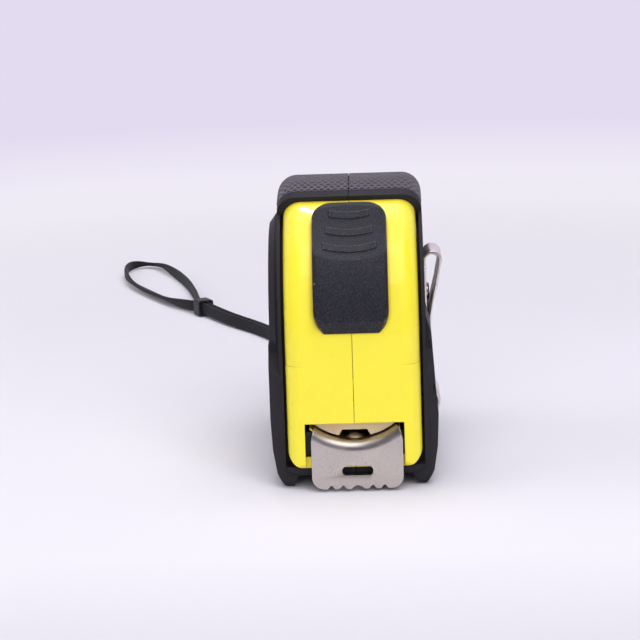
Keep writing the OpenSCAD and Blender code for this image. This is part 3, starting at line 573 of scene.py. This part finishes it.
def steel(name, colour, roughness, speckle=0.0, brushed=None, edge=0.0):
    """Plated or plain steel, with dark specks or brushed lines."""
    finish = Finish(name, Metallic=1.0, Roughness=roughness)
    where = finish.place()
    cloud = finish.noise(220, 3, 0.55, where)
    tone = finish.blend(cloud, darker(colour, 0.9), darker(colour, 1.08))
    height = finish.noise(5200, 3, 0.65, where)
    if speckle:
        pits = finish.cells(3200, where)
        mask = finish.math("MULTIPLY", finish.remap(pits, 0.1, 0.35, 1, 0),
                           finish.remap(finish.noise(1400, 1, 0.5, where), 0.5, 0.62))
        tone = finish.blend(finish.math("MULTIPLY", mask, speckle), tone, darker(colour, 0.3))
        height = finish.math("SUBTRACT", height, finish.math("MULTIPLY", mask, 1.5))
    if brushed:
        stretched = finish.node("Mapping", {"Vector": where, "Scale": brushed}).outputs["Vector"]
        lines = finish.noise(900, 4, 0.6, stretched)
        height = finish.math("ADD", height, finish.math("MULTIPLY", lines, 2.0))
        tone = finish.blend(lines, darker(colour, 0.85), darker(colour, 1.12))
    finish.colour(tone)
    finish.roughness(finish.remap(cloud, 0.25, 0.75, roughness - 0.05, roughness + 0.07))
    finish.bump(height, 0.012 * MM, 0.6, edge)
    return finish.material


# ------------------------------------------------------------------ case

class TAPE_OT_case(Operator):
    """Finishes the two glossy case halves"""
    bl_idname = "tape.case"
    bl_label = "Case halves"

    def execute(self, context):
        settings = context.scene.tape_case
        gloss = self.gloss(settings)
        for node in ("case_left", "case_right"):
            wear(frame["nodes"][node], gloss)
        return {"FINISHED"}

    def gloss(self, settings):
        base = tuple(settings.colour)
        finish = Finish("Glossy plastic", Roughness=settings.roughness)
        finish.shader.inputs["IOR"].default_value = 1.5
        finish.shader.inputs["Specular IOR Level"].default_value = 0.25
        finish.shader.inputs["Coat Weight"].default_value = 0.4
        finish.shader.inputs["Coat Roughness"].default_value = 0.035
        finish.shader.inputs["Subsurface Weight"].default_value = 0.08
        finish.shader.inputs["Subsurface Radius"].default_value = (1.0, 0.5, 0.05)
        finish.shader.inputs["Subsurface Scale"].default_value = 0.8 * MM
        where = finish.place()
        cloud = finish.noise(45, 2, 0.5, where)
        rub = finish.noise(600, 4, 0.7, where)
        # Painted shade: where ambient occlusion finds the plastic closed in, its colour is blended
        # to the orange-brown of shaded plastic.
        open_air = finish.node("AmbientOcclusion", {"Distance": 1.6 * MM}, samples=8).outputs["AO"]
        finish.colour(finish.blend(finish.remap(open_air, 0.25, 0.8), tuple(settings.painted_gap_shade),
                                   finish.blend(cloud, darker(base, 0.97), base)))
        finish.roughness(finish.remap(rub, 0.35, 0.75, settings.roughness - 0.03,
                                      settings.roughness + 0.05))
        finish.bump(finish.noise(260, 2, 0.5, where), 0.02 * MM, 0.12, 0.25 * MM)
        return finish.material


# ------------------------------------------------------------------ grip

CAP_R = 38.55 * MM
CAP_HALF = 18.55 * MM
CAP_EDGE = 4.65 * MM
ROUND_Z = 37 * MM
CAP_FROM = 72.3
CAP_TO = 177.0
# Dimples: the three steps in from a cell's edge, as shares of the pitch, then what the
# second and third step down, as shares of the rim
DIMPLE_STEPS = (0.11, 0.07, 0.08)
DIMPLE_DROPS = (0.7, 0.3)
DIMPLE_JOIN = 0.02 * MM     # corners of cells closer than this become one
CAP_MARGIN = 0.9 * MM       # bare rim along the side of the cap
SEAM_HALF = 0.12 * MM       # from the middle to where the sheet starts


def rubber(name, base, specular=0.14, edge=0.2 * MM):
    finish = Finish(name, Roughness=0.55)
    finish.shader.inputs["Specular IOR Level"].default_value = specular
    where = finish.place()
    grain = finish.noise(4200, 3, 0.6, where)
    cloud = finish.noise(120, 3, 0.5, where)
    lint = finish.math("MULTIPLY", finish.remap(finish.cells(420, where), 0.02, 0.05, 1, 0),
                       finish.remap(finish.noise(300, 1, 0.5, where), 0.62, 0.66))
    tone = finish.blend(cloud, darker(base, 0.8), darker(base, 1.25))
    finish.colour(finish.blend(lint, tone, (0.25, 0.24, 0.25)))
    finish.roughness(finish.remap(cloud, 0.3, 0.7, 0.48, 0.62))
    finish.bump(grain, 0.02 * MM, 0.5, edge)
    return finish.material


class TAPE_OT_grip(Operator):
    """Finishes the rubber and lays the network of dimples on its cap"""
    bl_idname = "tape.grip"
    bl_label = "Rubber grip"

    def execute(self, context):
        settings = context.scene.tape_grip
        finish = rubber("Grip rubber", tuple(settings.colour))
        for node in ("grip_left", "grip_right"):
            wear(frame["nodes"][node], finish)
        # The cap's rubber is given a lighter colour and more sheen than the rubber at the sides.
        lightened = rubber("Cap rubber", tuple(settings.cap_colour), 0.4, edge=0)
        # Painted shade: a much darker finish for the dimple floors, standing in for the shade in the
        # dimples.
        dimple_shade_paint = rubber("Painted dimple shade", darker(tuple(settings.cap_colour), 0.15), 0.1, edge=0)
        for side, name in ((-1, "cap_dimples_left"), (1, "cap_dimples_right")):
            seat(self.dimples(settings, side, name, (lightened, dimple_shade_paint)), "case")
        return {"FINISHED"}

    def dimples(self, settings, side, name, finishes):
        """A sheet of dimpled cells, made flat and then laid over half of the cap."""
        pitch = settings.cell
        row = pitch * math.sqrt(3) / 2
        across = CAP_HALF - CAP_EDGE + CAP_EDGE * math.pi / 2
        run = math.radians(CAP_TO - CAP_FROM) * CAP_R
        columns = int((across - CAP_MARGIN) / pitch) + 1
        rows = int(run / row / 2)
        deselect()
        bpy.ops.mesh.primitive_circle_add(vertices=6, radius=pitch / math.sqrt(3), fill_type="NGON",
                                          location=(0, row / 2, 0),
                                          rotation=(0, 0, math.pi / 6))
        sheet = settle(bpy.context.object)
        sheet.name = name
        for finish in finishes:
            sheet.data.materials.append(finish)
        bpy.ops.object.mode_set(mode="EDIT")
        bpy.ops.mesh.select_mode(type="FACE")
        bpy.ops.mesh.select_all(action="SELECT")
        bpy.ops.mesh.inset(thickness=DIMPLE_STEPS[0] * pitch)
        for step, drop in zip(DIMPLE_STEPS[1:], DIMPLE_DROPS):
            bpy.ops.mesh.inset(thickness=step * pitch, depth=-drop * settings.rim)
        # Painted shade: the floor of each dimple and the ring round it take the darker second
        # finish.
        bpy.ops.mesh.select_more()
        sheet.active_material_index = 1
        bpy.ops.object.material_slot_assign()
        bpy.ops.object.mode_set(mode="OBJECT")
        for count, shift in ((2, (pitch / 2, row, 0)), (columns, (pitch, 0, 0)),
                             (rows, (0, 2 * row, 0))):
            use_modifier(sheet, "ARRAY", count=count, use_relative_offset=False,
                         use_constant_offset=True, constant_offset_displace=shift,
                         use_merge_vertices=True, merge_threshold=DIMPLE_JOIN)
        use_modifier(sheet, "SOLIDIFY", thickness=settings.rim + 0.1 * MM, offset=-1)
        pick(sheet)
        bpy.ops.object.mode_set(mode="EDIT")
        bpy.ops.mesh.select_all(action="SELECT")
        bpy.ops.mesh.bisect(plane_co=(SEAM_HALF, 0, 0), plane_no=(1, 0, 0), use_fill=True,
                            clear_inner=True)
        bpy.ops.object.mode_set(mode="OBJECT")
        for vertex in sheet.data.vertices:
            vertex.co = self.on_cap(vertex.co, side, settings.rim)
        pick(sheet)
        bpy.ops.object.mode_set(mode="EDIT")
        bpy.ops.mesh.select_all(action="SELECT")
        bpy.ops.mesh.remove_doubles(threshold=0.005 * MM)
        bpy.ops.mesh.normals_make_consistent(inside=False)
        bpy.ops.object.mode_set(mode="OBJECT")
        return smooth(sheet, 50)

    def on_cap(self, flat, side, rim):
        """Where a point of the flat sheet lies on the cap, which is round both ways."""
        reach = CAP_HALF - CAP_EDGE
        lift = flat.z + rim
        if flat.x < reach:
            x, radius = flat.x, CAP_R + lift
        else:
            turn = (flat.x - reach) / CAP_EDGE
            x = reach + (CAP_EDGE + lift) * math.sin(turn)
            radius = CAP_R - CAP_EDGE + (CAP_EDGE + lift) * math.cos(turn)
        angle = math.radians(CAP_FROM) + flat.y / CAP_R
        return Vector((side * x, -radius * math.cos(angle), ROUND_Z + radius * math.sin(angle)))


# ------------------------------------------------------------------ lock

class TAPE_OT_lock(Operator):
    """Rounds the lock button and finishes the lock's inner pieces"""
    bl_idname = "tape.lock"
    bl_label = "Lock"

    def execute(self, context):
        settings = context.scene.tape_lock
        button = node_copy("lock_button", "thumb_button")
        use_modifier(button, "REMESH", mode="VOXEL", voxel_size=settings.voxel)
        use_modifier(button, "SMOOTH", factor=0.5, iterations=4)
        smooth(button, 60)
        seat(button, "lock", self.grained(settings))
        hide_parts("lock_button")
        wear(frame["nodes"]["lock_slide"], moulded_black("Slide plastic", 0.4))
        wear(frame["nodes"]["brake_pad"], moulded_black("Brake rubber", 0.7))
        wear(frame["nodes"]["detent_spring"], steel("Detent steel", (0.35, 0.36, 0.4), 0.3))
        return {"FINISHED"}

    def grained(self, settings):
        base = tuple(settings.colour)
        finish = Finish("Button grain", Roughness=0.42)
        finish.shader.inputs["Specular IOR Level"].default_value = 0.2
        where = finish.place()
        grain = finish.noise(2300, 2, 0.55, where)
        fine = finish.noise(6000, 2, 0.5, where)
        cloud = finish.noise(90, 2, 0.5, where)
        height = finish.math("ADD", grain, finish.math("MULTIPLY", fine, 0.35))
        peaks = finish.remap(height, 0.55, 0.95)
        tone = finish.blend(cloud, darker(base, 0.85), darker(base, 1.2))
        # Painted highlight: sharp convex edges, found by pointiness, are made light grey where the
        # grain is high, standing in for glints on the ribs.
        lightened = finish.remap(finish.node("NewGeometry").outputs["Pointiness"], 0.515, 0.57)
        glint = finish.math("MULTIPLY", lightened, finish.remap(grain, 0.35, 0.65, 0.4, 1.0))
        finish.colour(finish.blend(glint, finish.blend(peaks, tone, darker(base, 3.0)),
                                   (0.2, 0.2, 0.21)))
        finish.roughness(finish.remap(cloud, 0.3, 0.7, 0.36, 0.46))
        finish.bump(height, 0.1 * MM, 0.8)
        return finish.material


# ------------------------------------------------------------------ hook, bumper and clip

def pressed(node, name, width):
    """A copy of a pressed steel node with its sheared edges rounded."""
    obj = node_copy(node, name)
    use_modifier(obj, "BEVEL", width=width, segments=2, limit_method="ANGLE",
                 angle_limit=math.radians(40), use_clamp_overlap=False)
    return smooth(obj, 50)


class TAPE_OT_hook(Operator):
    """Finishes the end hook, its rivets, the bumper and the blade guide"""
    bl_idname = "tape.hook"
    bl_label = "End hook"

    def execute(self, context):
        settings = context.scene.tape_metal
        nickel = tuple(settings.nickel)
        satin = steel("Hook nickel", nickel, 0.36, speckle=0.9)
        seat(pressed("end_hook", "hook_plate", settings.edge), "hook", satin)
        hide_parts("end_hook")
        wear(frame["nodes"]["hook_rivets"], steel("Rivet nickel", darker(nickel, 1.6), 0.38))
        wear(frame["nodes"]["mouth_bumper"], self.milky())
        wear(frame["nodes"]["blade_guide"],
             moulded_black("Guide plastic", 0.5, (0.006, 0.006, 0.007)))
        return {"FINISHED"}

    def milky(self):
        finish = Finish("Bumper", Roughness=0.4)
        finish.shader.inputs["Subsurface Weight"].default_value = 0.6
        finish.shader.inputs["Subsurface Radius"].default_value = (1.0, 0.75, 0.45)
        finish.shader.inputs["Subsurface Scale"].default_value = 1.5 * MM
        where = finish.place()
        cloud = finish.noise(260, 2, 0.5, where)
        finish.colour(finish.blend(cloud, (0.68, 0.50, 0.28), (0.8, 0.66, 0.46)))
        finish.bump(finish.noise(1800, 2, 0.5, where), 0.03 * MM, 0.4)
        return finish.material


class TAPE_OT_clip(Operator):
    """Finishes the belt clip and the screws"""
    bl_idname = "tape.clip"
    bl_label = "Belt clip"

    def execute(self, context):
        settings = context.scene.tape_metal
        nickel = tuple(settings.nickel)
        satin = steel("Clip nickel", darker(nickel, 1.35), 0.3, speckle=0.3, brushed=(4, 1, 0.05))
        seat(pressed("belt_clip", "clip_strip", settings.edge), "case", satin)
        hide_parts("belt_clip")
        wear(frame["nodes"]["clip_screw"], steel("Clip screw nickel", nickel, 0.25))
        wear(frame["nodes"]["case_screws"], steel("Screw zinc", (0.05, 0.05, 0.055), 0.35))
        return {"FINISHED"}


# ------------------------------------------------------------------ reel and blade

REEL_Y = 2.5 * MM
REEL_Z = 38.48 * MM
COIL_PITCH = 0.32 * MM

class TAPE_OT_reel(Operator):
    """Finishes the reel, the coil and the power spring"""
    bl_idname = "tape.reel"
    bl_label = "Reel"

    def execute(self, context):
        inner = moulded_black("Reel plastic", 0.4)
        for node in ("reel_drum", "reel_cover"):
            wear(frame["nodes"][node], inner)
        plain = steel("Axle steel", (0.5, 0.5, 0.5), 0.3)
        for node in ("reel_washers", "axle_post"):
            wear(frame["nodes"][node], plain)
        wear(frame["nodes"]["power_spring"], steel("Spring steel", (0.3, 0.31, 0.36), 0.3))
        wear(frame["nodes"]["wound_blade"], self.wound(context.scene.tape_blade))
        return {"FINISHED"}

    def wound(self, settings):
        """Lacquered steel whose turns show as fine rings on the coil's flanks."""
        finish = Finish("Wound blade", Roughness=0.4)
        where = finish.place()
        centre = finish.node("Mapping", {"Vector": where, "Location": (0, -REEL_Y, -REEL_Z)})
        parts = finish.node("SeparateXYZ", {"Vector": centre.outputs["Vector"]}).outputs
        radius = finish.math("SQRT", finish.math("ADD", finish.math("MULTIPLY", parts[1], parts[1]),
                                                 finish.math("MULTIPLY", parts[2], parts[2])))
        turn = finish.math("FRACT", finish.math("DIVIDE", radius, COIL_PITCH))
        line = finish.remap(turn, 0.0, 0.35, 0.35, 1.0)
        finish.colour(finish.blend(line, (0.08, 0.07, 0.04), tuple(settings.lacquer)))
        finish.bump(turn, 0.05 * MM, 0.6)
        return finish.material


BLADE_HALF = 12.5 * MM
BLADE_T = 0.3 * MM
CUP_R = 18.5 * MM
BLADE_Z = 12.3 * MM
RUN_FROM = REEL_Y
RUN_SPLIT = -21.0 * MM
RUN_TO = -21.95 * MM
PULL = 5.0
ZERO_AT = -38.55 * MM


def blade_ring(y, cup):
    """Section of the blade at y, from flat (0) to fully cupped (1): top row, then bottom row."""
    steps = 16
    k = max(cup, 0.004) / CUP_R
    rows = []
    for offset in (-BLADE_T / 2, BLADE_T / 2):
        row = []
        for i in range(steps + 1):
            turn = (2 * i / steps - 1) * BLADE_HALF * k
            radius = 1 / k + offset
            row.append(Vector((radius * math.sin(turn), y,
                               BLADE_Z + 1 / k - radius * math.cos(turn))))
        rows.append(row)
    return rows[0] + rows[1][::-1]


def blade_strip(name, sections):
    """A strip through sections of (y, cup, distance from the hook), mapped by that distance."""
    verts, uvs, faces = [], [], []
    for y, cup, distance in sections:
        ring = blade_ring(y, cup)
        count = len(ring)
        half = count // 2
        for k, v in enumerate(ring):
            verts.append(v)
            across = k if k < half else count - 1 - k
            uvs.append((across / (half - 1), distance))
    for i in range(len(sections) - 1):
        for k in range(count):
            j = (k + 1) % count
            faces.append((i * count + k, i * count + j, (i + 1) * count + j, (i + 1) * count + k))
    faces.append(tuple(reversed(range(count))))
    faces.append(tuple(range((len(sections) - 1) * count, len(sections) * count)))
    strip = new_mesh(name, verts, faces)
    layer = strip.data.uv_layers.new(name="UVMap")
    for loop in strip.data.loops:
        layer.data[loop.index].uv = uvs[loop.vertex_index]
    pick(strip)
    bpy.ops.object.mode_set(mode="EDIT")
    bpy.ops.mesh.select_all(action="SELECT")
    bpy.ops.mesh.normals_make_consistent(inside=False)
    bpy.ops.object.mode_set(mode="OBJECT")
    return smooth(strip, 40)


class TAPE_OT_blade(Operator):
    """Makes the printed blade: the still run inside, the run that pulls out, and its end"""
    bl_idname = "tape.blade"
    bl_label = "Blade"

    def execute(self, context):
        settings = context.scene.tape_blade
        printed = self.printed(settings)
        inner = []
        for i in range(13):
            t = i / 12
            y = RUN_FROM + (RUN_SPLIT - RUN_FROM) * t
            inner.append((y, t * t * (3 - 2 * t), y - ZERO_AT + PULL))
        seat(blade_strip("blade_inside", inner), "case", printed)
        outer = []
        for i in range(settings.rings + 1):
            w = i / settings.rings
            t = 0.5 - math.sin(math.asin(1 - 2 * w) / 3)
            y = RUN_SPLIT + (RUN_TO - RUN_SPLIT) * t
            outer.append((y, 1, y - ZERO_AT + PULL * (1 - w)))
        strip = wear(blade_strip("blade_pull", outer), printed)
        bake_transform(strip)
        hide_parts("blade_run")
        wear(frame["nodes"]["blade_end"], self.printed(settings, "Printed blade end", mapped=False))
        return {"FINISHED"}

    def printed(self, settings, name="Printed blade", mapped=True):
        """Scale printed across the blade, read from the distance to the hook."""
        finish = Finish(name, Roughness=0.35)
        base = tuple(settings.lacquer)
        if mapped:
            place = finish.uv()
        else:
            place = finish.node("Mapping", {"Vector": finish.place(),
                                            "Location": (0.5, -ZERO_AT, 0),
                                            "Scale": (0.5 / BLADE_HALF, 1, 1)}).outputs[0]
        parts = finish.node("SeparateXYZ", {"Vector": place}).outputs
        u, v = parts[0], parts[1]
        edge = finish.math("SUBTRACT", 0.5, finish.math("ABSOLUTE", finish.math("SUBTRACT", u, 0.5)))
        ink = None
        for pitch, reach, width in ((0.001, 0.12, 0.00018), (0.005, 0.17, 0.0002),
                                    (0.01, 0.5, 0.00025)):
            phase = finish.math("ABSOLUTE", finish.math("SUBTRACT", finish.math(
                "FRACT", finish.math("ADD", finish.math("DIVIDE", v, pitch), 0.5)), 0.5))
            near = finish.math("LESS_THAN", phase, width / pitch / 2)
            tick = finish.math("MULTIPLY", near, finish.math("LESS_THAN", edge, reach))
            ink = tick if ink is None else finish.math("MAXIMUM", ink, tick)
        cloud = finish.noise(200, 2, 0.5)
        tone = finish.blend(cloud, darker(base, 0.94), base)
        finish.colour(finish.blend(ink, tone, tuple(settings.ink)))
        finish.bump(finish.noise(1500, 2), 0.01 * MM, 0.3)
        return finish.material


# ------------------------------------------------------------------ panel and run

OPERATORS = (TAPE_OT_stage, TAPE_OT_lace, TAPE_OT_case, TAPE_OT_grip, TAPE_OT_lock, TAPE_OT_hook,
             TAPE_OT_clip, TAPE_OT_reel, TAPE_OT_blade)


class TAPE_PT_panel(Panel):
    """Lists the settings and the operators of the tape measure"""
    bl_idname = "TAPE_PT_panel"
    bl_label = "Tape measure"
    bl_space_type = "VIEW_3D"
    bl_region_type = "UI"
    bl_category = "Tape"

    def draw(self, context):
        for key in SETTINGS:
            box = self.layout.box()
            group = getattr(context.scene, key)
            for name in group.bl_rna.properties.keys():
                if name not in {"rna_type", "name"}:
                    box.prop(group, name)
        for operator in OPERATORS:
            self.layout.operator(operator.bl_idname)


SETTINGS = {
    "tape_stage": StageSettings, "tape_case": CaseSettings, "tape_grip": GripSettings,
    "tape_lock": LockSettings, "tape_metal": MetalSettings, "tape_blade": BladeSettings,
    "tape_lace": LaceSettings,
}


def register():
    for key, group in SETTINGS.items():
        bpy.utils.register_class(group)
        setattr(bpy.types.Scene, key, PointerProperty(type=group))
    for cls in (*OPERATORS, TAPE_PT_panel):
        bpy.utils.register_class(cls)


def unregister():
    for cls in (TAPE_PT_panel, *reversed(OPERATORS)):
        bpy.utils.unregister_class(cls)
    for key, group in SETTINGS.items():
        delattr(bpy.types.Scene, key)
        bpy.utils.unregister_class(group)


def main():
    register()
    for operator in OPERATORS:
        area, name = operator.bl_idname.split(".")
        getattr(getattr(bpy.ops, area), name)()


if __name__ == "__main__":
    main()
